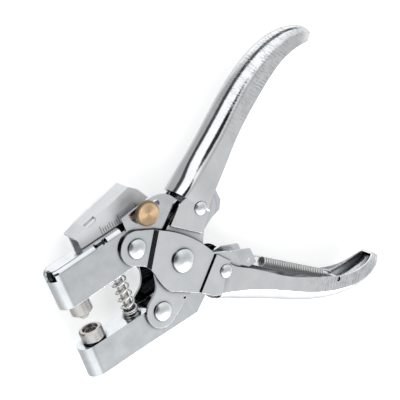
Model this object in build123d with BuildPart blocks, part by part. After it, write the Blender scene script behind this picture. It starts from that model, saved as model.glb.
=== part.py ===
from build123d import *

import os
from math import asin, atan2, cos, degrees, hypot, radians, sin

os.makedirs("parts", exist_ok=True)

# Parallel-jaw hand punch lying on its flat side. All sizes are millimetres.
# Sketch coordinates are measured from the centre rivet: x runs from the jaw noses to the
# handle tips, y from the lower jaw to the upper jaw, z across the thickness of the tool.

# Place of the centre rivet in the part's own frame
PIVOT_X = -30.53  # puts the middle of the whole length on the origin
PIVOT_Y = 1.91  # puts the middle of the whole spread on the origin
MID_Z = 14.5  # height of the middle plane over the surface that the tool lies on

# Scissor levers
ARM_X = 23.2  # centre rivet to each jaw rivet and slide pin, along x
ARM_Y = 22.0  # the same, along y
CLOSE = 24.0  # degrees that the upper lever turns when the punch meets the die
TOE = 1.0  # degrees that each open jaw leans towards the other at its nose
ARM = hypot(ARM_X, ARM_Y)
ARM_ANGLE = degrees(atan2(ARM_Y, ARM_X))

# Layers, as distances from the middle plane
JAW_HALF = 7.15
JAW_SHEET = 1.8
INNER_PLATE = (7.5, 9.2)
OUTER_PLATE = (9.4, 11.1)
HANDLE_SHEET = 1.1
UPPER_HANDLE_HALF = 10.5
LOWER_HANDLE_HALF = 12.4

# Rivets and pins
PIVOT_SHANK = 7.0
JAW_SHANK = 6.0
SLIDE_SHANK = 5.0
RUNNING_GAP = 0.05  # radial, where a hole turns on a rivet
SLOT_GAP = 0.45  # on each side of a slide pin

# Jaws
NOSE_X = -76.7
UPPER_FACE = 12.2
UPPER_TOP = 37.0
LOWER_FACE = -17.5
LOWER_BOTTOM = -36.6
PUNCH_X = -65.2
POST_X = -38.0
PUNCH_SHOULDER = 2.8
PUNCH_TIP = -0.3
DIE_TOP = -10.0
WEB_END = -27.0  # rear end of the upper jaw's top web
EAR_FRONT = -23.8
HOOK_PIN = (42.5, -27.0)  # front pin of the return spring, in the lower jaw
ANCHOR_PIN = (96.5, -75.5)  # rear pin of the return spring, in the lower handle

# Sliding gauge
GAUGE_SHEET = 1.5
GAUGE_NEAR = 1.5  # its upright wall's near face
GAUGE_FAR = -11.4  # its hanging leg's far face
GAUGE_FRONT = -50.4
KNOB_X = -9.5
KNOB_Y = 38.0
KNOB_RADIUS = 7.5
SCREW_RADIUS = 1.5
SLOT_ENDS = (-18.0, 2.0)


def level(z):
    """Plane of the levers and handles at a distance from the middle plane."""
    return Plane(origin=(PIVOT_X, PIVOT_Y, MID_Z + z))


def jaw_point(side, x, y):
    """Place of a jaw's point: side 1 is the upper jaw, -1 the lower, each leaning about its rivet."""
    lean = radians(side * TOE)
    dx = x + ARM_X
    dy = y - side * ARM_Y
    turned_x = dx * cos(lean) - dy * sin(lean)
    turned_y = dx * sin(lean) + dy * cos(lean)
    return PIVOT_X - ARM_X + turned_x, PIVOT_Y + side * ARM_Y + turned_y


def jaw_level(side, z):
    """Plane in a jaw's own axes, parallel to the middle plane."""
    lean = radians(side * TOE)
    x, y = jaw_point(side, 0, 0)
    return Plane(origin=(x, y, MID_Z + z), x_dir=(cos(lean), sin(lean), 0), z_dir=(0, 0, 1))


def jaw_floor(side, y):
    """Plane in a jaw's own axes that faces along the jaw's y: sketch x is along, sketch y is -z."""
    lean = radians(side * TOE)
    px, py = jaw_point(side, 0, y)
    return Plane(
        origin=(px, py, MID_Z), x_dir=(cos(lean), sin(lean), 0), z_dir=(-sin(lean), cos(lean), 0)
    )


def save(part, name):
    """Label a finished piece and write it."""
    part.label = name
    export_step(part, f"parts/{name}.step")


# ---------------------------------------------------------------- lever plates
LOBE = 10.4  # round end at the jaw rivet
TAIL = 11.6  # round end at the slide pin
JOGGLE_START = (-20.8, 8.6)  # the step's front bend line runs through these two points
JOGGLE_END = (-8.0, 26.2)
JOGGLE_RUN = 2.3
TOOLING_HOLE = (-6.8, -22.9)  # small hole that locates the plate when it is bent


def lever_outline(side):
    """Outline of a lever plate: side 1 carries the upper jaw in front and the lower handle behind."""
    lobe_top = (-ARM_X + 1.8, side * (ARM_Y + 10.2))
    crest = (3.7, side * 16.4)
    heel = (20.8, side * -7.9)
    lobe_foot = (-32.4, side * 17.2)
    with BuildLine() as outline:
        ThreePointArc(lobe_top, crest, heel)
        Polyline(
            heel,
            (28.6, side * -11.9),
            (31.6, side * -29.6),
            (15.2, side * -30.4),
            (3.1, side * -25.4),
            (-14.3, side * -13.2),
        )
        Spline(
            (-14.3, side * -13.2),
            (-17.6, side * -6.8),
            (-19.4, side * 1.0),
            (-22.6, side * 9.0),
            (-27.4, side * 12.4),
            lobe_foot,
        )
        Line(lobe_foot, lobe_top)
    return outline.line


def draw_lever(side, jaw_hole, pivot_hole, tail_hole):
    """Sketch a whole lever plate with its three holes."""
    make_face(lever_outline(side).edges())
    with Locations((-ARM_X, side * ARM_Y)):
        Circle(LOBE)
    with Locations((ARM_X, side * -ARM_Y)):
        Circle(TAIL)
        Circle(tail_hole, mode=Mode.SUBTRACT)
    with Locations((-ARM_X, side * ARM_Y)):
        Circle(jaw_hole, mode=Mode.SUBTRACT)
    with Locations((0, 0)):
        Circle(pivot_hole, mode=Mode.SUBTRACT)


def joggle_section(face):
    """Section across the step of the outer lever, as seen along the bend line."""
    inner_low, inner_high = face * INNER_PLATE[0], face * INNER_PLATE[1]
    outer_low, outer_high = face * OUTER_PLATE[0], face * OUTER_PLATE[1]
    with BuildLine() as section:
        Polyline(
            (-60, inner_low),
            (0, inner_low),
            (JOGGLE_RUN, outer_low),
            (90, outer_low),
            (90, outer_high),
            (JOGGLE_RUN - 0.6, outer_high),
            (-0.6, inner_high),
            (-60, inner_high),
            close=True,
        )
    return section.line


bend_turn = atan2(JOGGLE_END[1] - JOGGLE_START[1], JOGGLE_END[0] - JOGGLE_START[0])
bend_plane = Plane(
    origin=(PIVOT_X + JOGGLE_START[0], PIVOT_Y + JOGGLE_START[1], MID_Z),
    x_dir=(sin(bend_turn), -cos(bend_turn), 0),
    z_dir=(-cos(bend_turn), -sin(bend_turn), 0),
)

for face, place in ((1, "near"), (-1, "far")):
    with BuildPart() as lower_lever_plate:
        with BuildSketch(level(0)):
            draw_lever(1, JAW_SHANK / 2, PIVOT_SHANK / 2, SLIDE_SHANK / 2)
        extrude(amount=face * 12)
        with BuildSketch(bend_plane):
            make_face(joggle_section(face).edges())
        extrude(amount=80, both=True, mode=Mode.INTERSECT)
    save(lower_lever_plate.part, f"lower_lever_plate_{place}")

    with BuildPart() as upper_lever_plate:
        with BuildSketch(level(face * INNER_PLATE[0])):
            draw_lever(-1, JAW_SHANK / 2, PIVOT_SHANK / 2 + RUNNING_GAP, SLIDE_SHANK / 2)
            with Locations(TOOLING_HOLE):
                Circle(0.8, mode=Mode.SUBTRACT)
        extrude(amount=face * (INNER_PLATE[1] - INNER_PLATE[0]))
    save(upper_lever_plate.part, f"upper_lever_plate_{place}")

# ---------------------------------------------------------------- handles
# Stations along a handle shell, drawn for the upper one: the inner edge of its walls, the
# crest of its rounded spine, half its width at the walls, and how far the spine rises over them.
STATIONS = (
    ((27.9, 16.8), (13.5, 37.6), 10.5, 6.0),
    ((39.5, 28.8), (28.0, 46.4), 10.45, 7.5),
    ((60.0, 46.1), (50.5, 60.4), 10.3, 8.0),
    ((75.7, 57.0), (67.5, 71.4), 10.1, 7.2),
    ((95.2, 68.2), (89.4, 82.6), 9.8, 6.4),
    ((107.5, 73.6), (105.4, 87.3), 9.5, 5.8),
    ((118.2, 75.8), (119.2, 88.2), 8.9, 5.0),
    ((127.4, 75.4), (131.2, 85.4), 7.6, 4.0),
    ((134.0, 73.9), (138.0, 79.2), 4.8, 2.4),
)
TIP_WALL = 0.3  # share of the last bay that stays solid at the tip
SPREAD = 1.9  # degrees that the lower handle stands further out than the upper one
FRONT_WALLS = {  # flat front of each handle's walls, over the lever plates
    1: ((18.5, 7.2), (1.2, 22.8), (11.0, 31.0), (16.9, 32.4), (28.9, 17.7)),
    -1: ((21.5, -9.1), (2.9, -25.0), (9.6, -31.6), (15.0, -34.4), (28.5, -18.4)),
}
FINGER_POCKET = 4.3  # flat ring round a slide pin's head


def spread_out(side, point):
    """A station's point on its own side, with the lower handle's swung further out."""
    swing = radians(SPREAD if side < 0 else 0)
    x = point[0] * cos(swing) - point[1] * sin(swing)
    y = point[0] * sin(swing) + point[1] * cos(swing)
    return x, side * y


def station_plane(side, inner, crest):
    """Plane across a handle at a station, with sketch y running from the inner edge to the crest."""
    foot_x, foot_y = spread_out(side, inner)
    top_x, top_y = spread_out(side, crest)
    return Plane(
        origin=(PIVOT_X + foot_x, PIVOT_Y + foot_y, MID_Z),
        x_dir=(0, 0, -side),
        z_dir=(side * (top_y - foot_y), side * (foot_x - top_x), 0),
    )


def between(first, second, share):
    """Station at a share of the way between two."""
    points = []
    for a, b in zip(first[:2], second[:2]):
        points.append((a[0] + (b[0] - a[0]) * share, a[1] + (b[1] - a[1]) * share))
    sizes = [a + (b - a) * share for a, b in zip(first[2:], second[2:])]
    return (*points, *sizes)


def station_section(half, height, rise, start):
    """Section of a handle: two straight walls that run smoothly into a half-elliptical spine."""
    with BuildLine() as section:
        Polyline((-half, height - rise), (-half, start), (half, start), (half, height - rise))
        EllipticalCenterArc((0, height - rise), half, rise, 0, arc_size=180)
    return section.line


def extra_width(index, extra):
    """The wider handle narrows to the other one's width at the tip, slowly at first."""
    return extra * (1 - (index / (len(STATIONS) - 1)) ** 1.6)


HOLLOW = (*STATIONS[:-1], between(STATIONS[-2], STATIONS[-1], 1 - TIP_WALL))
WIDER = LOWER_HANDLE_HALF - UPPER_HANDLE_HALF
for side, name, extra in ((1, "upper_handle", 0.0), (-1, "lower_handle", WIDER)):
    wall_out = UPPER_HANDLE_HALF + extra
    with BuildPart() as handle:
        for index, (inner, crest, half, rise) in enumerate(STATIONS):
            tall = hypot(crest[0] - inner[0], crest[1] - inner[1])
            with BuildSketch(station_plane(side, inner, crest)):
                wide = half + extra_width(index, extra)
                make_face(station_section(wide, tall, rise, 0).edges())
        loft()
        for index, (inner, crest, half, rise) in enumerate(HOLLOW):
            tall = hypot(crest[0] - inner[0], crest[1] - inner[1]) - HANDLE_SHEET
            inside = half + extra_width(index, extra) - HANDLE_SHEET
            with BuildSketch(station_plane(side, inner, crest)):
                make_face(station_section(inside, tall, rise - HANDLE_SHEET, -4).edges())
        loft(mode=Mode.SUBTRACT)
        for face in (1, -1):
            with BuildSketch(level(face * wall_out)):
                Polygon(*FRONT_WALLS[side], align=None)
            extrude(amount=-face * HANDLE_SHEET)
        with BuildSketch(level(0)):
            with Locations((ARM_X, side * ARM_Y)):
                Circle(SLIDE_SHANK / 2)
            if side < 0:
                with Locations(ANCHOR_PIN):
                    Circle(1.5)
        extrude(amount=20, both=True, mode=Mode.SUBTRACT)
        for face in (1, -1):
            with BuildSketch(level(face * wall_out)):
                with Locations((ARM_X, side * ARM_Y)):
                    Circle(FINGER_POCKET)
            extrude(amount=face * 3, mode=Mode.SUBTRACT)
    save(handle.part, name)


# ---------------------------------------------------------------- rivets
def rivet_section(shank, seat, head, band, dome):
    """Half section of a rivet, with a straight band under a ball-shaped cap at each end."""
    rim = seat + band
    top = rim + dome
    rise = top - rim
    ball = (head * head + rise * rise) / (2 * rise)
    half_turn = asin(head / ball) / 2
    shoulder = (ball * sin(half_turn), top - ball + ball * cos(half_turn))
    with BuildLine() as profile:
        Line((0, -top), (0, top))
        ThreePointArc((0, top), shoulder, (head, rim))
        Polyline((head, rim), (head, seat), (shank, seat), (shank, -seat), (head, -seat), (head, -rim))
        ThreePointArc((head, -rim), (shoulder[0], -shoulder[1]), (0, -top))
    return profile.line


def rivet_plane(x, y):
    """Plane through a rivet's axis, with sketch y along the thickness of the tool."""
    return Plane(origin=(PIVOT_X + x, PIVOT_Y + y, MID_Z), x_dir=(1, 0, 0), z_dir=(0, -1, 0))


RIVETS = (
    ("pivot_rivet", (0, 0), PIVOT_SHANK, OUTER_PLATE[1], 6.9, 1.6, 1.8),
    ("upper_jaw_rivet", (-ARM_X, ARM_Y), JAW_SHANK, INNER_PLATE[1], 5.6, 1.1, 1.5),
    ("lower_jaw_rivet", (-ARM_X, -ARM_Y), JAW_SHANK, INNER_PLATE[1], 5.6, 1.1, 1.5),
    ("upper_slide_pin", (ARM_X, ARM_Y), SLIDE_SHANK, UPPER_HANDLE_HALF, 4.0, 0.7, 1.1),
    ("lower_slide_pin", (ARM_X, -ARM_Y), SLIDE_SHANK, LOWER_HANDLE_HALF, 4.0, 0.7, 1.1),
)
for name, (x, y), shank, seat, head, band, dome in RIVETS:
    with BuildPart() as rivet:
        with BuildSketch(rivet_plane(x, y)):
            make_face(rivet_section(shank / 2, seat, head, band, dome).edges())
        revolve(axis=Axis((PIVOT_X + x, PIVOT_Y + y, MID_Z), (0, 0, 1)))
    save(rivet.part, name)

with BuildPart() as pivot_spacer:
    with BuildSketch(level(0)):
        Circle(5.2)
        Circle(PIVOT_SHANK / 2, mode=Mode.SUBTRACT)
    extrude(amount=INNER_PLATE[0] - 0.2, both=True)
save(pivot_spacer.part, "pivot_spacer")

# ---------------------------------------------------------------- jaws
INSIDE = JAW_HALF - JAW_SHEET
NOSE_CENTRE = NOSE_X + JAW_HALF


def draw_plan(half, rear):
    """Plan of a jaw: straight sides behind a round nose."""
    with Locations((NOSE_CENTRE, 0)):
        Circle(half)
        Rectangle(rear - NOSE_CENTRE, 2 * half, align=(Align.MIN, Align.CENTER))


def pin_path(side):
    """Open and closed places of a lever's slide pin in a jaw's own axes."""
    lean = radians(TOE)
    closed = ARM * cos(radians(ARM_ANGLE - CLOSE / 2))
    first = (-ARM_X + 2 * ARM_X * cos(lean), side * (ARM_Y - 2 * ARM_X * sin(lean)))
    last = (-ARM_X + 2 * closed, side * ARM_Y)
    return first, last


def draw_slot(side):
    """Slot for the slide pin, longer than its travel by the pin's gap."""
    first, last = pin_path(side)
    run = hypot(last[0] - first[0], last[1] - first[1])
    reach = SLIDE_SHANK / 2 + SLOT_GAP
    middle = ((first[0] + last[0]) / 2, (first[1] + last[1]) / 2)
    tilt = degrees(atan2(last[1] - first[1], last[0] - first[0]))
    with Locations(middle):
        SlotCenterToCenter(run, 2 * reach, rotation=tilt, mode=Mode.SUBTRACT)


BEND_SLOT_X = -40.9  # relief slot in the top bend
NOSE_RELIEF = 3.4  # corner relief at the nose, along the jaw
UPPER_REAR = (
    (WEB_END - 1, UPPER_FACE),
    (-8.0, UPPER_FACE),
    (10.0, 11.4),
    (28.0, 9.5),
    (36.0, 11.4),
    (39.2, 16.6),
    (38.2, 27.6),
    (15.6, 27.6),
)
LOWER_REAR = (
    (-36.0, LOWER_FACE),
    (-8.0, LOWER_FACE + 1.0),
    (10.0, -14.8),
    (34.0, -15.2),
    (46.4, -20.6),
    (47.4, -31.0),
    (14.0, -31.0),
    (8.4, -29.6),
    (-1.6, -37.2),
    (-36.0, LOWER_BOTTOM),
)

with BuildPart() as upper_jaw:
    with BuildSketch(jaw_floor(1, UPPER_FACE)):
        draw_plan(JAW_HALF, WEB_END)
    extrude(amount=UPPER_TOP - UPPER_FACE)
    rim = upper_jaw.faces().sort_by(Axis(jaw_floor(1, 0).origin, jaw_floor(1, 0).z_dir))[-1]
    round_edges = [e for e in rim.edges() if e.center().X < jaw_point(1, WEB_END, 0)[0] - 1]
    fillet(round_edges, radius=2.8)
    with BuildSketch(jaw_floor(1, UPPER_FACE - 1)):
        draw_plan(INSIDE, WEB_END + 5)
    extrude(amount=UPPER_TOP - UPPER_FACE - JAW_SHEET + 1, mode=Mode.SUBTRACT)
    for face in (1, -1):
        with BuildSketch(jaw_level(1, face * JAW_HALF)):
            if face > 0:
                with BuildLine():
                    Polyline(
                        *reversed(UPPER_REAR),
                        (WEB_END - 1, UPPER_TOP - 3.0),
                        (EAR_FRONT, UPPER_TOP - 3.0),
                        (EAR_FRONT, 41.5),
                        (-4.6, 43.3),
                    )
                    Spline((-4.6, 43.3), (2.5, 42.2), (9.0, 38.4), (12.2, 33.6), UPPER_REAR[-1])
                make_face()
                with Locations(((SLOT_ENDS[0] + SLOT_ENDS[1]) / 2, KNOB_Y)):
                    SlotCenterToCenter(SLOT_ENDS[1] - SLOT_ENDS[0] - 4.4, 4.4, mode=Mode.SUBTRACT)
            else:
                Polygon(*UPPER_REAR, (8.0, 33.0), (WEB_END - 1, UPPER_TOP - 3.0), align=None)
            with Locations((-ARM_X, ARM_Y)):
                Circle(JAW_SHANK / 2 + RUNNING_GAP, mode=Mode.SUBTRACT)
            draw_slot(1)
        extrude(amount=-face * JAW_SHEET)
    with BuildSketch(jaw_floor(1, UPPER_TOP + 1)):
        with Locations((BEND_SLOT_X, 1.2 - JAW_HALF)):
            SlotCenterToCenter(3.6, 5.0)
    extrude(amount=-3.4, mode=Mode.SUBTRACT)
    with BuildSketch(jaw_floor(1, UPPER_TOP + 1)):
        with Locations((NOSE_X, 0.5)):
            Rectangle(2 * NOSE_RELIEF, 9, align=(Align.CENTER, Align.MAX))
    extrude(amount=-1 - 1.7 * NOSE_RELIEF, mode=Mode.SUBTRACT)
save(upper_jaw.part, "upper_jaw")

with BuildPart() as lower_jaw:
    with BuildSketch(jaw_floor(-1, LOWER_BOTTOM)):
        draw_plan(JAW_HALF, -30)
    extrude(amount=LOWER_FACE - LOWER_BOTTOM)
    with BuildSketch(jaw_floor(-1, LOWER_BOTTOM - 1)):
        draw_plan(INSIDE, -25)
    extrude(amount=LOWER_FACE - LOWER_BOTTOM - JAW_SHEET + 1, mode=Mode.SUBTRACT)
    for face in (1, -1):
        with BuildSketch(jaw_level(-1, face * JAW_HALF)):
            Polygon(*LOWER_REAR, align=None)
            with Locations((-ARM_X, -ARM_Y)):
                Circle(JAW_SHANK / 2 + RUNNING_GAP, mode=Mode.SUBTRACT)
            with Locations(HOOK_PIN):
                Circle(1.3, mode=Mode.SUBTRACT)
            draw_slot(-1)
        extrude(amount=-face * JAW_SHEET)
    with BuildSketch(jaw_floor(-1, LOWER_FACE)):
        with Locations((PUNCH_X, 0)):
            Circle(4.0)
        with Locations((POST_X, 0)):
            Circle(2.5)
    extrude(amount=-4, mode=Mode.SUBTRACT)
save(lower_jaw.part, "lower_jaw")


def turned(side, x, points, name):
    """Write a round piece turned about a jaw's own y direction at x; points are radius and y."""
    axis_x, axis_y = jaw_point(side, x, 0)
    lean = radians(side * TOE)
    with BuildPart() as piece:
        with BuildSketch(jaw_level(side, 0)):
            with BuildLine():
                Polyline(*[(x + radius, y) for radius, y in points], close=True)
            make_face()
        revolve(axis=Axis((axis_x, axis_y, MID_Z), (-sin(lean), cos(lean), 0)))
    save(piece.part, name)


# Carrier block that closes the upper jaw, holds the punch and guides the post
CARRIER_TOP = UPPER_FACE + 7.0
with BuildPart() as punch_carrier:
    with BuildSketch(jaw_floor(1, UPPER_FACE + 0.6)):
        draw_plan(INSIDE, -31.0)
        with Locations((PUNCH_X, 0)):
            Circle(3.0, mode=Mode.SUBTRACT)
        with Locations((POST_X, 0)):
            Circle(3.4, mode=Mode.SUBTRACT)
    extrude(amount=CARRIER_TOP - UPPER_FACE - 0.6)
save(punch_carrier.part, "punch_carrier")

turned(
    1,
    PUNCH_X,
    (
        (0, PUNCH_TIP),
        (2.3, PUNCH_TIP),
        (3.0, PUNCH_TIP + 0.8),
        (3.0, PUNCH_SHOULDER),
        (5.4, PUNCH_SHOULDER),
        (6.5, PUNCH_SHOULDER + 1.0),
        (6.5, UPPER_FACE),
        (5.0, UPPER_FACE),
        (5.0, UPPER_FACE + 0.6),
        (3.0, UPPER_FACE + 0.6),
        (3.0, CARRIER_TOP + 5.2),
        (0, CARRIER_TOP + 5.2),
    ),
    "punch",
)
turned(
    1,
    PUNCH_X,
    ((3.0, CARRIER_TOP), (5.0, CARRIER_TOP), (5.0, CARRIER_TOP + 4.0), (3.0, CARRIER_TOP + 4.0)),
    "punch_nut",
)
turned(
    -1,
    PUNCH_X,
    (
        (3.3, DIE_TOP - 1.6),
        (4.8, DIE_TOP - 1.6),
        (4.8, DIE_TOP),
        (6.2, DIE_TOP),
        (7.0, DIE_TOP - 0.8),
        (7.0, LOWER_FACE + 1.2),
        (6.0, LOWER_FACE + 0.8),
        (6.0, LOWER_FACE),
        (4.0, LOWER_FACE),
        (4.0, LOWER_FACE - 8.0),
        (3.3, LOWER_FACE - 8.0),
    ),
    "die",
)
turned(
    -1,
    PUNCH_X,
    (
        (4.0, LOWER_FACE - JAW_SHEET),
        (5.2, LOWER_FACE - JAW_SHEET),
        (5.2, LOWER_FACE - JAW_SHEET - 4.0),
        (4.0, LOWER_FACE - JAW_SHEET - 4.0),
    ),
    "die_nut",
)
turned(
    -1,
    POST_X,
    (
        (0, LOWER_FACE - JAW_SHEET - 1.6),
        (4.2, LOWER_FACE - JAW_SHEET - 1.6),
        (4.2, LOWER_FACE - JAW_SHEET),
        (2.5, LOWER_FACE - JAW_SHEET),
        (2.5, 17.0),
        (2.0, 17.6),
        (0, 17.6),
    ),
    "guide_post",
)
SEAT_TOP = LOWER_FACE + 1.2
turned(
    -1,
    POST_X,
    ((2.5, LOWER_FACE), (5.4, LOWER_FACE), (5.4, SEAT_TOP), (2.5, SEAT_TOP)),
    "spring_seat",
)
SPRING_TOP = 12.0
turned(
    -1,
    POST_X,
    ((3.8, SEAT_TOP), (4.9, SEAT_TOP), (4.9, SPRING_TOP), (3.8, SPRING_TOP)),
    "jaw_spring",
)

# Sleeves on the jaw rivets that keep each jaw's two walls apart
for side, name in ((1, "upper_jaw_sleeve"), (-1, "lower_jaw_sleeve")):
    with BuildPart() as sleeve:
        with BuildSketch(level(0)):
            with Locations((-ARM_X, side * ARM_Y)):
                Circle(4.6)
                Circle(JAW_SHANK / 2 + RUNNING_GAP, mode=Mode.SUBTRACT)
        extrude(amount=INSIDE, both=True)
    save(sleeve.part, name)

# ---------------------------------------------------------------- sliding gauge
GAUGE_FOOT = UPPER_TOP + 0.2
GAUGE_LEG = (-50.4, -40.0)
LEG_BOTTOM = 6.0
GAUGE_TOP = (
    (GAUGE_FRONT, 41.6),
    (-51.9, 45.4),
    (-43.8, 47.6),
    (-9.8, 53.7),
    (-5.0, 49.4),
    (-0.4, 40.4),
)

with BuildPart() as gauge:
    with BuildSketch(jaw_level(1, GAUGE_NEAR)):
        Polygon(
            *GAUGE_TOP,
            (-0.4, GAUGE_FOOT - 3.0),
            (-19.0, GAUGE_FOOT - 3.0),
            (-19.0, GAUGE_FOOT),
            (GAUGE_FRONT, GAUGE_FOOT),
            align=None,
        )
    extrude(amount=-GAUGE_SHEET)
    with BuildSketch(jaw_level(1, GAUGE_NEAR)):
        Polygon(
            *GAUGE_TOP[1:4],
            (-10.1, 53.7 - GAUGE_SHEET),
            (-43.8, 47.6 - GAUGE_SHEET),
            (-51.7, 45.4 - GAUGE_SHEET),
            align=None,
        )
    extrude(amount=GAUGE_FAR - GAUGE_NEAR)
    with BuildSketch(jaw_level(1, GAUGE_FAR)):
        with Locations(((GAUGE_LEG[0] + GAUGE_LEG[1]) / 2, (LEG_BOTTOM + 45.6) / 2)):
            Rectangle(GAUGE_LEG[1] - GAUGE_LEG[0], 45.6 - LEG_BOTTOM)
    extrude(amount=GAUGE_SHEET)
    with BuildSketch(jaw_level(1, GAUGE_NEAR)):
        with Locations((-39.2, 48.4)):
            SlotCenterToCenter(3.6, 4.2, rotation=10)
    extrude(amount=-3.2, mode=Mode.SUBTRACT)
    with BuildSketch(jaw_level(1, 0)):
        with Locations((KNOB_X, KNOB_Y)):
            Circle(SCREW_RADIUS + RUNNING_GAP)
    extrude(amount=20, both=True, mode=Mode.SUBTRACT)
save(gauge.part, "gauge")

with BuildPart() as gauge_nut:
    with BuildSketch(jaw_level(1, GAUGE_NEAR)):
        with Locations((KNOB_X, KNOB_Y)):
            RegularPolygon(radius=3.2, side_count=6)
            Circle(SCREW_RADIUS + RUNNING_GAP, mode=Mode.SUBTRACT)
    extrude(amount=INSIDE - 0.2 - GAUGE_NEAR)
save(gauge_nut.part, "gauge_nut")

KNOB_SEAT = 9.5
with BuildPart() as thumbscrew:
    with BuildSketch(jaw_level(1, KNOB_SEAT)):
        with Locations((KNOB_X, KNOB_Y)):
            Circle(KNOB_RADIUS)
    extrude(amount=3.2)
    chamfer(thumbscrew.edges().filter_by(GeomType.CIRCLE), length=0.4)
    with BuildSketch(jaw_level(1, KNOB_SEAT)):
        with Locations((KNOB_X, KNOB_Y)):
            Circle(SCREW_RADIUS)
    extrude(amount=-KNOB_SEAT)
save(thumbscrew.part, "thumbscrew")

with BuildPart() as knob_washer:
    with BuildSketch(jaw_level(1, JAW_HALF + 0.1)):
        with Locations((KNOB_X, KNOB_Y)):
            Circle(4.2)
            Circle(SCREW_RADIUS, mode=Mode.SUBTRACT)
    extrude(amount=KNOB_SEAT - JAW_HALF - 0.2)
save(knob_washer.part, "knob_washer")

# ---------------------------------------------------------------- return spring
hook_x, hook_y = jaw_point(-1, *HOOK_PIN)
anchor_x = PIVOT_X + ANCHOR_PIN[0]
anchor_y = PIVOT_Y + ANCHOR_PIN[1]
pull = Vector(hook_x - anchor_x, hook_y - anchor_y, 0)
pull_length = pull.length
pull_dir = pull.normalized()
COIL_RADIUS = 3.4
COIL_WIRE = 1.1
EYE_RADIUS = 2.2
REAR_GAP = 6.0
COIL_LENGTH = 51.0


def pull_plane(distance):
    """Plane across the return spring, at a distance from its rear pin."""
    spot = Vector(anchor_x, anchor_y, MID_Z) + pull_dir * distance
    return Plane(origin=spot, x_dir=(0, 0, 1), z_dir=pull_dir)


def pull_flat():
    """Middle plane of the tool, with sketch x along the return spring from its rear pin."""
    return Plane(origin=(anchor_x, anchor_y, MID_Z), x_dir=pull_dir, z_dir=(0, 0, 1))


with BuildPart() as return_spring:
    with BuildSketch(pull_plane(REAR_GAP)):
        Circle(COIL_RADIUS)
        Circle(COIL_RADIUS - COIL_WIRE, mode=Mode.SUBTRACT)
    extrude(amount=COIL_LENGTH)
save(return_spring.part, "return_spring")


def hook(centre, neck_from, neck_to):
    """Eye of wire round a pin, with a neck that reaches back to the coil."""
    with BuildPart() as piece:
        with BuildSketch(pull_flat()):
            with Locations((centre, 0)):
                Circle(EYE_RADIUS + COIL_WIRE)
                Circle(EYE_RADIUS, mode=Mode.SUBTRACT)
            for offset in (1, -1):
                with Locations(((neck_from + neck_to) / 2, offset * (EYE_RADIUS + COIL_WIRE / 2))):
                    Rectangle(abs(neck_to - neck_from), COIL_WIRE)
        extrude(amount=COIL_WIRE / 2, both=True)
    return piece.part


save(hook(0, 1.6, REAR_GAP - 0.05), "return_spring_rear_eye")
save(hook(pull_length, pull_length - 1.6, REAR_GAP + COIL_LENGTH + 0.05), "return_spring_front_eye")

with BuildPart() as hook_pin:
    with BuildSketch(jaw_level(-1, 0)):
        with Locations(HOOK_PIN):
            Circle(1.3)
    extrude(amount=JAW_HALF, both=True)
save(hook_pin.part, "spring_hook_pin")

with BuildPart() as anchor_pin:
    with BuildSketch(level(0)):
        with Locations(ANCHOR_PIN):
            Circle(1.5)
    extrude(amount=9.9, both=True)
save(anchor_pin.part, "spring_anchor_pin")
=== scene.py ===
import math

import bpy
from mathutils import Matrix, Vector


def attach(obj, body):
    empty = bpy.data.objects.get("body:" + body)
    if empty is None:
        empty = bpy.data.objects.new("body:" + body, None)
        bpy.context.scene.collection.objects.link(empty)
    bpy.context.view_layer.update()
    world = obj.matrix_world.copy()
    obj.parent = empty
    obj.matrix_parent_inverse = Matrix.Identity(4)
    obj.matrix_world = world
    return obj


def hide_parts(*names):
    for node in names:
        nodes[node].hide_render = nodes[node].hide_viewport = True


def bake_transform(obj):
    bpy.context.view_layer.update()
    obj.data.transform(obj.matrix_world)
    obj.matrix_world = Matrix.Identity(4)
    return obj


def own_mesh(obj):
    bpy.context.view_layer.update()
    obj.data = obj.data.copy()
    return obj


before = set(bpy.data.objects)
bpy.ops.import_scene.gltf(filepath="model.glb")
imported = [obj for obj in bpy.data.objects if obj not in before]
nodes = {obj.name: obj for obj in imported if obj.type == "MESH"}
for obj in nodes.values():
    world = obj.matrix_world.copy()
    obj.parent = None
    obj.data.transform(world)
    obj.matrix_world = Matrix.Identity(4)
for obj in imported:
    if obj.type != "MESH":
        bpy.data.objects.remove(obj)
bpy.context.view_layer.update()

# ---------------------------------------------------------------- places, from the part
PIVOT = Vector((-0.03053, 0.00191, 0.0145))
ARM_X = 0.0232
ARM_Y = 0.022
TOE = math.radians(1.0)
GAUGE_FACE = 1.5  # height of the gauge's near face, in mm
KNOB_AT = (-9.5, 38.0)


def mm(x, y, z=0.0):
    """Place in metres of a point given in millimetres from the centre rivet."""
    return PIVOT + Vector((x, y, z)) / 1000


def jaw(side, x, y, z=0.0):
    """The same in a jaw's own leaning axes; side 1 is the upper jaw."""
    lean = side * TOE
    dx = x / 1000 + ARM_X
    dy = y / 1000 - side * ARM_Y
    turned_x = dx * math.cos(lean) - dy * math.sin(lean)
    turned_y = dx * math.sin(lean) + dy * math.cos(lean)
    return PIVOT + Vector((turned_x - ARM_X, side * ARM_Y + turned_y, z / 1000))


def jaw_matrix(side, x, y, z=0.0):
    """Axes at a jaw's point: local z runs up along the jaw's y, local x along the jaw."""
    lean = side * TOE
    along = Vector((math.cos(lean), math.sin(lean), 0))
    up = Vector((-math.sin(lean), math.cos(lean), 0))
    rows = Matrix((along, along.cross(up) * -1, up)).transposed()
    return Matrix.Translation(jaw(side, x, y, z)) @ rows.to_4x4()


# ---------------------------------------------------------------- node helpers
def graph(name):
    """A new material, its node tree and its shader."""
    material = bpy.data.materials.new(name)
    material.use_nodes = True
    tree = material.node_tree
    return material, tree, tree.nodes["Principled BSDF"]


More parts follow.
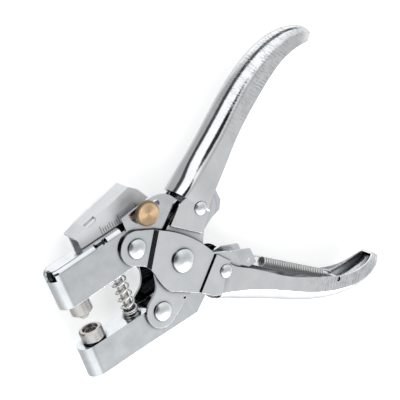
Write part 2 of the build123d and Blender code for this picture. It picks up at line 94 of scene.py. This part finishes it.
def add(tree, kind, values=None, **settings):
    """Adds a node, with its settings and the values of its input sockets."""
    node = tree.nodes.new(kind)
    for key, value in settings.items():
        setattr(node, key, value)
    for key, value in (values or {}).items():
        node.inputs[key].default_value = value
    return node


def place(tree, stretch, turn=0.0):
    """Coordinates on the piece, stretched along its axes and turned about z."""
    where = add(tree, "ShaderNodeTexCoord")
    mapping = add(tree, "ShaderNodeMapping", {"Scale": stretch, "Rotation": (0, 0, turn)})
    tree.links.new(where.outputs["Object"], mapping.inputs["Vector"])
    return mapping.outputs["Vector"]


def noise(tree, stretch, scale, detail=4.0, rough=0.55, turn=0.0):
    """Fractal noise on stretched coordinates."""
    node = add(tree, "ShaderNodeTexNoise", {"Scale": scale, "Detail": detail, "Roughness": rough})
    tree.links.new(place(tree, stretch, turn), node.inputs["Vector"])
    return node.outputs["Fac"]


def spread(tree, value, low, high, start=0.3, end=0.7):
    """Maps a value from start..end to low..high."""
    node = add(
        tree, "ShaderNodeMapRange", {"From Min": start, "From Max": end, "To Min": low, "To Max": high}
    )
    tree.links.new(value, node.inputs["Value"])
    return node.outputs["Result"]


def tint(tree, shader, value, first, second):
    """Base colour that runs between two colours."""
    ramp = add(tree, "ShaderNodeValToRGB")
    ramp.color_ramp.elements[0].position = 0.3
    ramp.color_ramp.elements[0].color = (*first, 1)
    ramp.color_ramp.elements[1].position = 0.7
    ramp.color_ramp.elements[1].color = (*second, 1)
    tree.links.new(value, ramp.inputs["Fac"])
    tree.links.new(ramp.outputs["Color"], shader.inputs["Base Color"])


def relief(tree, value, strength, depth, under=None):
    """Bump from a height value, over another normal if given."""
    node = add(tree, "ShaderNodeBump", {"Strength": strength, "Distance": depth})
    tree.links.new(value, node.inputs["Height"])
    if under is not None:
        tree.links.new(under, node.inputs["Normal"])
    return node.outputs["Normal"]


def edge(tree, radius):
    """Normal that rounds sharp edges a little."""
    node = add(tree, "ShaderNodeBevel", {"Radius": radius}, samples=6)
    return node.outputs["Normal"]


def maths(tree, operation, first, second=None):
    """One arithmetic node on two values."""
    node = add(tree, "ShaderNodeMath", operation=operation)
    for index, value in enumerate((first, second)):
        if value is None:
            continue
        if isinstance(value, (int, float)):
            node.inputs[index].default_value = value
        else:
            tree.links.new(value, node.inputs[index])
    return node.outputs[0]


def paint_crevice_shade(tree, shader, reach, start=0.35, end=0.88, dark=(0.012, 0.012, 0.014)):
    """Paints shade into the base colour where the surface is shut in, from an ambient occlusion node."""
    shut = add(tree, "ShaderNodeAmbientOcclusion", {"Distance": reach}, samples=6)
    mix = add(tree, "ShaderNodeMix", data_type="RGBA")
    # dark is the colour of the painted shade
    mix.inputs["A"].default_value = (*dark, 1)
    colour = shader.inputs["Base Color"].links[0].from_socket
    tree.links.new(spread(tree, shut.outputs["AO"], 0.0, 1.0, start, end), mix.inputs["Factor"])
    tree.links.new(colour, mix.inputs["B"])
    tree.links.new(mix.outputs["Result"], shader.inputs["Base Color"])


def plated(
    name,
    dark,
    light,
    smooth,
    dull,
    grain=(1, 1, 1),
    turn=0.0,
    depth=2e-6,
    round_edge=2e-4,
    reach=0.003,
    shut=(0.35, 0.88),
    metallic=1.0,
):
    """Metal: cloudy roughness, fine brushing along one direction, rounded edges, painted shade in crevices.
    """
    material, tree, shader = graph(name)
    shader.inputs["Metallic"].default_value = metallic
    cloud = noise(tree, (1, 1, 1), 90, 5.0)
    tint(tree, shader, cloud, dark, light)
    # Painted shade: darkens the colour where the surface is shut in; reach and shut set its distance and
    # strength.
    paint_crevice_shade(tree, shader, reach, *shut)
    brush = noise(tree, grain, 420, 3.0, 0.6, turn)
    blend = maths(tree, "ADD", maths(tree, "MULTIPLY", cloud, 0.65), maths(tree, "MULTIPLY", brush, 0.35))
    tree.links.new(spread(tree, blend, smooth, dull), shader.inputs["Roughness"])
    normal = relief(tree, brush, 0.5, depth, edge(tree, round_edge))
    tree.links.new(normal, shader.inputs["Normal"])
    return material


def paint_inside_shade(material):
    """Paints shade: colours the faces that look up nearly black, so that the gap between the plates reads as
    dark shade.
    """
    tree = material.node_tree
    shader = tree.nodes["Principled BSDF"]
    facing = add(tree, "ShaderNodeTexCoord")
    axes = add(tree, "ShaderNodeSeparateXYZ")
    tree.links.new(facing.outputs["Normal"], axes.inputs["Vector"])
    mix = add(tree, "ShaderNodeMix", data_type="RGBA")
    mix.inputs["B"].default_value = (0.035, 0.033, 0.035, 1)
    tree.links.new(shader.inputs["Base Color"].links[0].from_socket, mix.inputs["A"])
    tree.links.new(spread(tree, axes.outputs["Z"], 0.0, 1.0, 0.3, 0.7), mix.inputs["Factor"])
    tree.links.new(mix.outputs["Result"], shader.inputs["Base Color"])


def hatched(material, turn, start, end, depth):
    """Adds crossed scratches to a handle, which fade in from start to end along x."""
    tree = material.node_tree
    shader = tree.nodes["Principled BSDF"]
    lines = 0.0
    for lean, scale in ((0.42, 170.0), (-0.5, 205.0), (0.06, 140.0)):
        wave = add(
            tree, "ShaderNodeTexWave", {"Scale": scale, "Distortion": 4.5, "Detail": 3.0, "Detail Scale": 1.2}
        )
        where = add(tree, "ShaderNodeTexCoord")
        first = add(tree, "ShaderNodeMapping", {"Rotation": (0, 0, turn)})
        second = add(tree, "ShaderNodeMapping", {"Rotation": (0, lean, 0)})
        tree.links.new(where.outputs["Object"], first.inputs["Vector"])
        tree.links.new(first.outputs["Vector"], second.inputs["Vector"])
        tree.links.new(second.outputs["Vector"], wave.inputs["Vector"])
        lines = maths(tree, "MAXIMUM", spread(tree, wave.outputs["Fac"], 0.0, 1.0, 0.78, 1.0), lines)
    broken = spread(tree, noise(tree, (1, 1, 1), 230, 3.0), 0.0, 1.0, 0.42, 0.58)
    lines = maths(tree, "MULTIPLY", lines, broken)
    spot = add(tree, "ShaderNodeTexCoord")
    split = add(tree, "ShaderNodeSeparateXYZ")
    tree.links.new(spot.outputs["Object"], split.inputs["Vector"])
    part = spread(tree, split.outputs["X"], 0.0, 1.0, start, end)
    height = maths(tree, "MULTIPLY", lines, part)
    under = shader.inputs["Normal"].links[0].from_socket
    tree.links.new(relief(tree, height, 0.9, depth, under), shader.inputs["Normal"])
    mix = add(tree, "ShaderNodeMix", data_type="RGBA")
    mix.inputs["B"].default_value = (0.3, 0.3, 0.31, 1)
    colour = shader.inputs["Base Color"].links[0].from_socket
    tree.links.new(colour, mix.inputs["A"])
    tree.links.new(maths(tree, "MULTIPLY", height, 0.45), mix.inputs["Factor"])
    tree.links.new(mix.outputs["Result"], shader.inputs["Base Color"])


# ---------------------------------------------------------------- materials
LEVER_TONES = ((0.76, 0.785, 0.81), (0.84, 0.855, 0.87))
GRIP_TONES = ((0.77, 0.785, 0.8), (0.86, 0.87, 0.88))
ALONG_SHEET = (1, 7, 7)  # brushing drawn out along the sheet

# The lever plates' painted shade reaches 14 mm, so their faces are painted darker near other parts.
plate = plated("lever_chrome", *LEVER_TONES, 0.08, 0.16, ALONG_SHEET, 0.45, reach=0.014, shut=(0.55, 0.86))
far_plate_painted_shade = plated("far_lever_chrome_painted_shade", *LEVER_TONES, 0.08, 0.16, ALONG_SHEET, 0.45)
# The far plates' up-facing inner faces get painted shade, near black.
paint_inside_shade(far_plate_painted_shade)
upper_grip = plated("upper_handle_chrome", *GRIP_TONES, 0.05, 0.13, ALONG_SHEET, 0.7)
lower_grip = plated("lower_handle_chrome", *GRIP_TONES, 0.06, 0.14, ALONG_SHEET, -0.7, reach=0.012)
hatched(upper_grip, -0.62, 0.015, 0.06, 4e-5)
hatched(lower_grip, 0.62, 0.03, 0.06, 8e-6)
jaw_chrome = plated("jaw_chrome", (0.66, 0.69, 0.715), (0.78, 0.805, 0.825), 0.08, 0.17, (1, 8, 8), 0.02)
gauge_chrome = plated(
    "gauge_chrome",
    (0.7, 0.715, 0.73),
    (0.79, 0.8, 0.81),
    0.3,
    0.45,
    (6, 1, 6),
    0.02,
    reach=0.0014,
    metallic=0.5,
)
rivet_chrome = plated("rivet_chrome", (0.72, 0.755, 0.765), (0.82, 0.85, 0.855), 0.24, 0.32, reach=0.0022)
wire_steel = plated(
    "spring_wire",
    (0.76, 0.765, 0.76),
    (0.9, 0.9, 0.89),
    0.26,
    0.36,
    round_edge=1e-4,
    reach=0.0014,
    shut=(0.5, 0.92),
    metallic=0.75,
)
dark_steel = plated("dark_steel", (0.16, 0.16, 0.165), (0.28, 0.28, 0.28), 0.25, 0.42, reach=0.006)
turned = plated(
    "turned_steel", (0.5, 0.49, 0.47), (0.64, 0.63, 0.61), 0.2, 0.34, (1, 14, 1), 0.0, 6e-6, reach=0.0016
)
tick_ink = plated("tick_ink", (0.08, 0.08, 0.09), (0.13, 0.13, 0.14), 0.35, 0.5)

KNOB = jaw(1, *KNOB_AT)
brass, brass_tree, brass_shader = graph("brass")
brass_shader.inputs["Metallic"].default_value = 1.0
brass_shader.inputs["Anisotropic"].default_value = 0.75
tint(brass_tree, brass_shader, noise(brass_tree, (1, 1, 1), 260, 4.0), (0.62, 0.42, 0.24), (0.76, 0.56, 0.35))
# Painted shade in the knob's crevices, dark brown.
paint_crevice_shade(brass_tree, brass_shader, 0.002, 0.5, 0.93, (0.04, 0.022, 0.01))
rings = add(
    brass_tree,
    "ShaderNodeTexWave",
    {"Scale": 900.0, "Distortion": 0.6, "Detail": 2.0},
    wave_type="RINGS",
    rings_direction="Z",
)
rings_at = add(brass_tree, "ShaderNodeTexCoord")
rings_centre = add(brass_tree, "ShaderNodeMapping", {"Location": -KNOB})
brass_tree.links.new(rings_at.outputs["Object"], rings_centre.inputs["Vector"])
brass_tree.links.new(rings_centre.outputs["Vector"], rings.inputs["Vector"])
turned_marks = spread(brass_tree, rings.outputs["Fac"], 0.26, 0.38, 0.0, 1.0)
brass_tree.links.new(turned_marks, brass_shader.inputs["Roughness"])
brass_tree.links.new(relief(brass_tree, rings.outputs["Fac"], 0.4, 4e-6), brass_shader.inputs["Normal"])
around = add(brass_tree, "ShaderNodeTangent", direction_type="RADIAL", axis="Z")
brass_tree.links.new(around.outputs["Tangent"], brass_shader.inputs["Tangent"])


# ---------------------------------------------------------------- finishing CAD nodes
def finish_with(material, *names):
    """Gives CAD nodes their material."""
    for name in names:
        node = nodes[name]
        node.data.materials.clear()
        node.data.materials.append(material)


finish_with(plate, "lower_lever_plate_near", "upper_lever_plate_near")
finish_with(far_plate_painted_shade, "lower_lever_plate_far", "upper_lever_plate_far")
finish_with(upper_grip, "upper_handle")
finish_with(lower_grip, "lower_handle")
finish_with(jaw_chrome, "upper_jaw", "lower_jaw")
finish_with(gauge_chrome, "gauge")
finish_with(
    rivet_chrome,
    "pivot_rivet",
    "upper_jaw_rivet",
    "lower_jaw_rivet",
    "upper_slide_pin",
    "lower_slide_pin",
    "spring_hook_pin",
    "spring_anchor_pin",
)
finish_with(
    dark_steel,
    "pivot_spacer",
    "upper_jaw_sleeve",
    "lower_jaw_sleeve",
    "punch_carrier",
    "knob_washer",
    "gauge_nut",
)
finish_with(turned, "punch", "punch_nut", "die", "die_nut", "guide_post", "spring_seat")
finish_with(wire_steel, "jaw_spring", "return_spring", "return_spring_rear_eye", "return_spring_front_eye")
finish_with(brass, "thumbscrew")


# ---------------------------------------------------------------- pieces
def piece(name, vertices, faces, material, smooth=True):
    """A mesh piece in the scene."""
    mesh = bpy.data.meshes.new(name)
    mesh.from_pydata(vertices, [], faces)
    mesh.validate()
    mesh.polygons.foreach_set("use_smooth", [smooth] * len(mesh.polygons))
    mesh.materials.append(material)
    made = bpy.data.objects.new(name, mesh)
    bpy.context.scene.collection.objects.link(made)
    return made


def tube(name, path, radius, material, sides=10):
    """Wire of round section along a path, with closed ends."""
    vertices = []
    faces = []
    side = Vector((0, 0, 1))
    for index, point in enumerate(path):
        ahead = path[min(index + 1, len(path) - 1)] - path[max(index - 1, 0)]
        ahead.normalize()
        side = (side - ahead * side.dot(ahead)).normalized()
        other = ahead.cross(side)
        for step in range(sides):
            angle = 2 * math.pi * step / sides
            vertices.append(point + (side * math.cos(angle) + other * math.sin(angle)) * radius)
    for index in range(len(path) - 1):
        for step in range(sides):
            a = index * sides + step
            b = index * sides + (step + 1) % sides
            faces.append((a, b, b + sides, a + sides))
    last = (len(path) - 1) * sides
    faces.append(tuple(reversed(range(sides))))
    faces.append(tuple(range(last, last + sides)))
    return piece(name, vertices, faces, material)


def coil(axes, radius, heights, per_turn=22):
    """Helix about an axis frame's local z; heights gives the height at each whole turn."""
    path = []
    count = (len(heights) - 1) * per_turn
    for step in range(count + 1):
        turn = step / per_turn
        whole = min(int(turn), len(heights) - 2)
        height = heights[whole] + (heights[whole + 1] - heights[whole]) * (turn - whole)
        angle = 2 * math.pi * turn
        path.append(axes @ Vector((radius * math.cos(angle), radius * math.sin(angle), height)))
    return path


# Open compression spring on the guide post: two closed turns, then five open ones
WIRE = 0.00055
POST_X = -38.0
SPRING_LOW = -16.3
SPRING_HIGH = 12.0
SPRING_RADIUS = 0.0049
OPEN_TURNS = 5
CLOSED_PITCH = 0.00115
closed_top = WIRE + 2 * CLOSED_PITCH
open_pitch = ((SPRING_HIGH - SPRING_LOW) / 1000 - WIRE - closed_top) / OPEN_TURNS
rises = [WIRE, WIRE + CLOSED_PITCH] + [closed_top + open_pitch * n for n in range(OPEN_TURNS + 1)]
jaw_path = coil(jaw_matrix(-1, POST_X, SPRING_LOW), SPRING_RADIUS - WIRE, rises)
jaw_coil = tube("jaw_coil", jaw_path, WIRE, wire_steel)
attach(jaw_coil, "lower_jaw")
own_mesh(jaw_coil)
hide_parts("jaw_spring")

# Close-wound return spring with a wire loop at each end
ANCHOR = mm(96.5, -75.5)
HOOK = jaw(-1, 42.5, -27.0)
pull = (HOOK - ANCHOR).normalized()
across = pull.cross(Vector((0, 0, 1)))
COIL_START = 0.006
COIL_END = 0.057
RETURN_WIRE = 0.0006
COIL_MEAN = 0.0034 - RETURN_WIRE
RETURN_TURNS = 34
coil_axes = Matrix.Translation(ANCHOR) @ Matrix((across, Vector((0, 0, 1)), pull)).transposed().to_4x4()
wound = COIL_END - COIL_START - 2 * RETURN_WIRE
steps = [COIL_START + RETURN_WIRE + wound * n / RETURN_TURNS for n in range(RETURN_TURNS + 1)]
return_coil = tube("return_coil", coil(coil_axes, COIL_MEAN, steps, 20), RETURN_WIRE, wire_steel, 10)
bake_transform(return_coil)
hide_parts("return_spring")


def loop(name, pin, towards, reach, body, node):
    """U of wire from the coil's end, round a pin and back."""
    path = []
    bow = COIL_MEAN - 0.0001
    for step in range(8):
        path.append(pin - towards * (reach * (1 - step / 8)) + across * bow)
    for step in range(25):
        angle = math.pi * step / 24
        path.append(pin + towards * (bow * math.sin(angle)) + across * (bow * math.cos(angle)))
    for step in range(1, 8):
        path.append(pin - towards * (reach * 0.75 * step / 8) - across * bow)
    made = tube(name, path, RETURN_WIRE, wire_steel)
    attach(made, body)
    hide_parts(node)


loop("front_loop", HOOK, pull, (HOOK - ANCHOR).length - COIL_END, "spring_front", "return_spring_front_eye")
loop("rear_loop", ANCHOR, -pull, COIL_START, "return_spring", "return_spring_rear_eye")

# Knurled brass thumbscrew
TEETH = 42
AROUND = TEETH * 6
KNOB_RADIUS = 0.0075
KNOB_SEAT = 0.0095
rim_rings = (  # height, how far in from the rim, depth of the teeth
    (KNOB_SEAT, -0.00045, 0.0002),
    (0.0098, 0.0, 0.001),
    (0.0122, 0.0, 0.001),
    (0.0127, -0.0005, 0.0009),
    (0.01268, -0.0015, 0.0),
    (0.0126, -0.0026, 0.0),
    (0.01256, -0.0048, 0.0),
    (0.01262, -0.0066, 0.0),
)
knob_vertices = []
knob_faces = []
for height, inset, tooth in rim_rings:
    for step in range(AROUND):
        angle = 2 * math.pi * step / AROUND
        notch = tooth * max(0.0, math.cos(TEETH * angle)) ** 0.7
        reach = KNOB_RADIUS + inset - notch
        knob_vertices.append(KNOB + Vector((reach * math.cos(angle), reach * math.sin(angle), height)))
for ring in range(len(rim_rings) - 1):
    for step in range(AROUND):
        a = ring * AROUND + step
        b = ring * AROUND + (step + 1) % AROUND
        knob_faces.append((a, b, b + AROUND, a + AROUND))
top_ring = (len(rim_rings) - 1) * AROUND
knob_faces.append(tuple(range(top_ring, top_ring + AROUND)))
knob_faces.append(tuple(reversed(range(AROUND))))
thread_start = len(knob_vertices)
THREAD_STEPS = 48
THREAD_SIDES = 20
THREAD_CREST = 0.0015
THREAD_ROOT = 0.00128
for ring in range(THREAD_STEPS + 1):
    radius = THREAD_CREST if ring % 2 else THREAD_ROOT
    height = KNOB_SEAT * ring / THREAD_STEPS
    for step in range(THREAD_SIDES):
        angle = 2 * math.pi * step / THREAD_SIDES
        knob_vertices.append(KNOB + Vector((radius * math.cos(angle), radius * math.sin(angle), height)))
for ring in range(THREAD_STEPS):
    for step in range(THREAD_SIDES):
        a = thread_start + ring * THREAD_SIDES + step
        b = thread_start + ring * THREAD_SIDES + (step + 1) % THREAD_SIDES
        knob_faces.append((a, b, b + THREAD_SIDES, a + THREAD_SIDES))
knob_faces.append(tuple(reversed(range(thread_start, thread_start + THREAD_SIDES))))
knob = piece("knurled_thumbscrew", knob_vertices, knob_faces, brass, smooth=False)
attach(knob, "thumbscrew")
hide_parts("thumbscrew")

# Ruler marks on the gauge's upright face
MARK_FIRST = -35.6
MARK_GAP = 1.5875
MARK_FOOT = 38.0
MARKS = 17
MARK_HALF = 0.17
MARK_SUNK = 0.1
MARK_PROUD = 0.02
mark_vertices = []
mark_faces = []
for mark in range(MARKS):
    tall = 5.0 if mark % 8 == 0 else 4.0 if mark % 4 == 0 else 3.1
    x = MARK_FIRST + MARK_GAP * mark
    start = len(mark_vertices)
    for z in (GAUGE_FACE - MARK_SUNK, GAUGE_FACE + MARK_PROUD):
        for dx, dy in ((-MARK_HALF, 0), (MARK_HALF, 0), (MARK_HALF, tall), (-MARK_HALF, tall)):
            mark_vertices.append(jaw(1, x + dx, MARK_FOOT + dy, z))
    for face in ((4, 5, 6, 7), (0, 1, 5, 4), (1, 2, 6, 5), (2, 3, 7, 6), (3, 0, 4, 7)):
        mark_faces.append(tuple(start + corner for corner in face))
marks = piece("gauge_marks", mark_vertices, mark_faces, tick_ink, smooth=False)
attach(marks, "gauge")

# ---------------------------------------------------------------- stage
floor_mesh = bpy.data.meshes.new("floor")
REACH = 3.0
floor_mesh.from_pydata(
    [(-REACH, -REACH, 0), (REACH, -REACH, 0), (REACH, REACH, 0), (-REACH, REACH, 0)], [], [(0, 1, 2, 3)]
)
floor = bpy.data.objects.new("floor", floor_mesh)
bpy.context.scene.collection.objects.link(floor)
pale, pale_tree, pale_shader = graph("floor_white")
tint(pale_tree, pale_shader, noise(pale_tree, (1, 1, 1), 3), (0.9, 0.9, 0.9), (0.93, 0.93, 0.93))
pale_shader.inputs["Roughness"].default_value = 0.8
pale_shader.inputs["Emission Color"].default_value = (1, 1, 1, 1)
pale_shader.inputs["Emission Strength"].default_value = 0.5
floor.data.materials.append(pale)
floor.visible_glossy = False

world = bpy.data.worlds.new("studio")
bpy.context.scene.world = world
world.use_nodes = True
sky = world.node_tree
background = sky.nodes["Background"]
look = add(sky, "ShaderNodeTexCoord")
WORLD_LEVEL = 1.2


def zone(direction, inner, outer):
    """1 inside an angle about a direction, falling to 0 at the outer angle."""
    dot = add(sky, "ShaderNodeVectorMath", operation="DOT_PRODUCT")
    dot.inputs[1].default_value = Vector(direction).normalized()
    sky.links.new(look.outputs["Generated"], dot.inputs[0])
    return spread(
        sky, dot.outputs["Value"], 0.0, 1.0, math.cos(math.radians(outer)), math.cos(math.radians(inner))
    )


def darken(value, amount):
    """1 - amount * value."""
    return maths(sky, "SUBTRACT", 1.0, maths(sky, "MULTIPLY", value, amount))


split = add(sky, "ShaderNodeSeparateXYZ")
sky.links.new(look.outputs["Generated"], split.inputs["Vector"])
far_side = spread(sky, split.outputs["Y"], 0.0, 1.0, 0.25, 0.5)
strip = maths(sky, "ABSOLUTE", maths(sky, "ADD", split.outputs["Z"], 0.4))
low_strip = maths(sky, "MULTIPLY", spread(sky, strip, 1.0, 0.0, 0.12, 0.2), far_side)
below = spread(sky, split.outputs["Z"], 1.0, 0.0, -0.45, -0.1)
left = spread(sky, split.outputs["X"], 1.0, 0.0, -0.05, 0.25)
not_near = spread(sky, split.outputs["Y"], 0.0, 1.0, -0.5, -0.1)
under_left = maths(sky, "MULTIPLY", maths(sky, "MULTIPLY", below, left), not_near)
cut_off = spread(sky, split.outputs["Y"], 1.0, 0.0, 0.62, 0.70)
flag = maths(sky, "MULTIPLY", zone((-0.46, 0.32, 0.83), 26, 32), cut_off)
level = maths(sky, "MULTIPLY", darken(flag, 0.98), darken(zone((0.40, -0.48, 0.78), 20, 40), 0.37))
level = maths(sky, "MULTIPLY", level, darken(low_strip, 0.88))
level = maths(sky, "MULTIPLY", level, darken(under_left, 0.6))
dimmed = (  # direction, inner and outer angle, how much darker
    ((0.06, -0.08, 0.99), 12, 30, 0.36),
    ((0.9, 0.05, 0.3), 34, 60, 0.25),
    ((0.4, -0.43, -0.8), 15, 45, 0.45),
    ((-0.65, -0.5, -0.55), 15, 60, 0.45),
)
for direction, inner, outer, amount in dimmed:
    level = maths(sky, "MULTIPLY", level, darken(zone(direction, inner, outer), amount))
sky.links.new(maths(sky, "MULTIPLY", level, WORLD_LEVEL), background.inputs["Strength"])
background.inputs["Color"].default_value = (0.985, 0.99, 1.0, 1)


def softbox(name, place_at, aim, size, power):
    """Large soft area light."""
    lamp = bpy.data.lights.new(name, "AREA")
    lamp.shape = "DISK"
    lamp.size = size
    lamp.energy = power
    spot = bpy.data.objects.new(name, lamp)
    spot.location = place_at
    spot.rotation_euler = (Vector(aim) - Vector(place_at)).to_track_quat("-Z", "Y").to_euler()
    bpy.context.scene.collection.objects.link(spot)


softbox("side", (0.15, -0.85, 0.5), (0, 0, 0), 0.7, 5)

# ---------------------------------------------------------------- camera
lens = bpy.data.cameras.new("camera")
lens.lens = 121.979
lens.sensor_width = 36
camera = bpy.data.objects.new("camera", lens)
right = Vector((0.764899, -0.322039, 0.557873))
upward = Vector((0.500712, 0.84166, -0.200645))
back = Vector((-0.404953, 0.432851, 0.803465))
camera.matrix_world = Matrix.Translation(PIVOT + Vector((-0.293847, 0.367251, 0.643397))) @ Matrix(
    (right, upward, back)
).transposed().to_4x4()
bpy.context.scene.collection.objects.link(camera)
bpy.context.scene.camera = camera
bpy.context.scene.view_settings.view_transform = "Standard"
